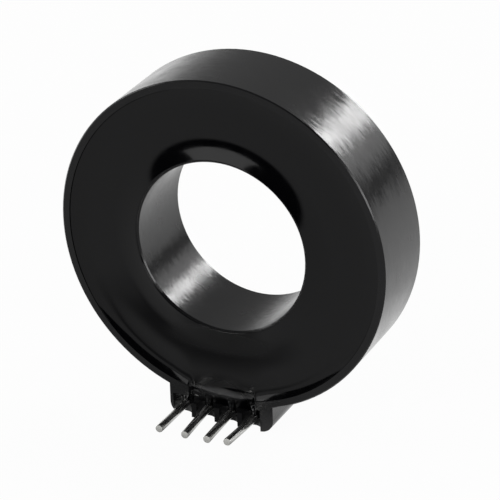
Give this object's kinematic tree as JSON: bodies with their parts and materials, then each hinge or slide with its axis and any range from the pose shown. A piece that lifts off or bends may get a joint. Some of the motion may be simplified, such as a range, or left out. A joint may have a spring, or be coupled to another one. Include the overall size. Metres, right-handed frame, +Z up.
{
  "type": "zero-sequence current transformer",
  "caption": "Potted ring current transformer on a hollow foot, with a round bore for the conductors and a row of board pins standing out of its front.",
  "frame": {"origin": "centre of the bore, on the plane of the front rim", "axes": "+Y along the bore, from the open resin face to the closed back; +Z up, away from the foot; +X to the right, seen from the resin face"},
  "size_m": [0.035, 0.014, 0.0371],
  "materials": {
    "housing_plastic": "black glass-filled thermoplastic, satin, with fine tool marks round the ring",
    "potting_resin": "black potting resin, poured and cured glossy",
    "core_strip": "wound nanocrystalline strip, bare grey metal",
    "cushion_rubber": "soft silicone ring",
    "case_plastic": "natural nylon, moulded",
    "copper_wire": null,
    "polyester_tape": "yellow polyester winding tape",
    "tinned_pin": "bright tinned wire, cut square",
    "solder": "soft solder, satin grey",
    "sleeve_plastic": "thin white insulating sleeve"
  },
  "bodies": {
    "root": {"housing": "housing_plastic", "potting_resin": "potting_resin", "magnetic_core": "core_strip", "core_cushion": "cushion_rubber", "core_case_cup": "case_plastic", "core_case_lid": "case_plastic", "secondary_winding": "copper_wire", "interlayer_tape": "polyester_tape", "test_winding": "copper_wire", "outer_tape": "polyester_tape", "terminal_pin_1": "tinned_pin", "terminal_pin_2": "tinned_pin", "terminal_pin_3": "tinned_pin", "terminal_pin_4": "tinned_pin", "solder_joint_1": "solder", "solder_joint_2": "solder", "solder_joint_3": "solder", "solder_joint_4": "solder", "lead_sleeve_1": "sleeve_plastic", "lead_sleeve_2": "sleeve_plastic", "lead_sleeve_3": "sleeve_plastic", "lead_sleeve_4": "sleeve_plastic"}
  },
  "joints": []
}
